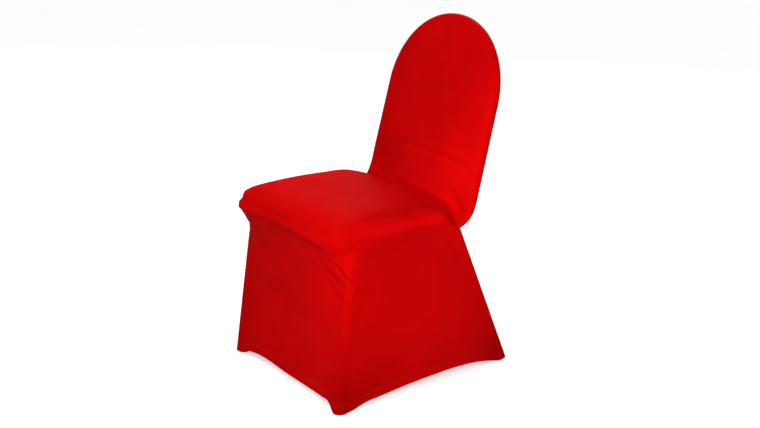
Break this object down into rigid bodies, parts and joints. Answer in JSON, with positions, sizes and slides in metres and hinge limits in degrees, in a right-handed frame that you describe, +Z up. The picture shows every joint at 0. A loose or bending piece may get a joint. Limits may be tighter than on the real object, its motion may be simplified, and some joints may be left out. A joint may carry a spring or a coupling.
{
  "type": "chair cover",
  "caption": "Fitted stretch cover for a round-top banquet chair, with a crowned seat, flat skirts, arched hems and a pocket for each foot.",
  "frame": {"origin": "centre of the bounding box at the floor", "axes": "+Z up, the longest extent; the cover's front faces -Y; +X is on the right seen from the front"},
  "size_m": [0.507, 0.6068, 0.9286],
  "materials": {
    "front_panel_cloth": "smooth stretch knit, slight sheen",
    "rear_panel_cloth": "smooth stretch knit, slight sheen",
    "right_skirt_cloth": "smooth stretch knit, slight sheen",
    "left_skirt_cloth": "smooth stretch knit, slight sheen",
    "front_left_pocket_cloth": "doubled stretch knit, matt",
    "front_right_pocket_cloth": "doubled stretch knit, matt",
    "rear_left_pocket_cloth": "doubled stretch knit, matt",
    "rear_right_pocket_cloth": "doubled stretch knit, matt"
  },
  "bodies": {
    "root": {"front_panel": "front_panel_cloth", "rear_panel": "rear_panel_cloth", "right_skirt": "right_skirt_cloth", "left_skirt": "left_skirt_cloth", "front_left_pocket": "front_left_pocket_cloth", "front_right_pocket": "front_right_pocket_cloth", "rear_left_pocket": "rear_left_pocket_cloth", "rear_right_pocket": "rear_right_pocket_cloth"}
  },
  "joints": []
}
